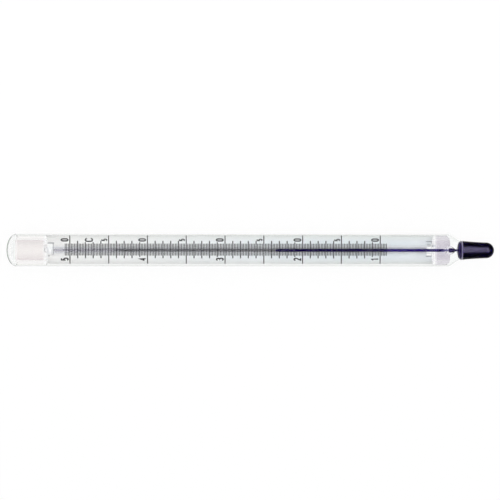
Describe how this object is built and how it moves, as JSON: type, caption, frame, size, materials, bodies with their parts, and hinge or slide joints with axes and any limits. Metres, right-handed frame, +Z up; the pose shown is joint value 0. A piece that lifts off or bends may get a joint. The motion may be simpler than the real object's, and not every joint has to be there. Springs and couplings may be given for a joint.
{
  "type": "darkroom thermometer",
  "caption": "Spirit-in-glass thermometer with a sealed outer sheath, an inner scale plate, a fine capillary and a dark dyed spirit column rising from an exposed bulb.",
  "frame": {"origin": "under the middle of the overall length, on the surface that the glass lies on", "axes": "+X along the glass from the domed top towards the bulb, +Z up out of the graduated face of the scale, +Y across"},
  "size_m": [0.2282, 0.0152, 0.0152],
  "materials": {
    "sheath_glass": "clear, polished by flame",
    "stem_glass": "clear, drawn",
    "spirit": "dark blue-violet dyed spirit, nearly opaque in the bulb",
    "scale_plate": "cool pale grey with black printed graduations",
    "sleeve_plastic": "milky translucent with a faint pink cast"
  },
  "bodies": {
    "glass_body": {"sheath_tube": "sheath_glass", "seal_ring": "sheath_glass", "bulb_glass": "stem_glass", "capillary_tube": "stem_glass", "bulb_spirit": "spirit", "spirit_thread": "spirit", "scale_plate": "scale_plate", "upper_sleeve": "sleeve_plastic", "lower_sleeve": "sleeve_plastic"},
    "spirit_column": {"spirit_meniscus": "spirit"}
  },
  "joints": [
    {"name": "spirit_rise", "type": "slide", "parent": "glass_body", "child": "spirit_column", "axis": [-1, 0, 0], "range_m": [-0.04909, 0.09635], "deforming": ["spirit_thread"]}
  ]
}
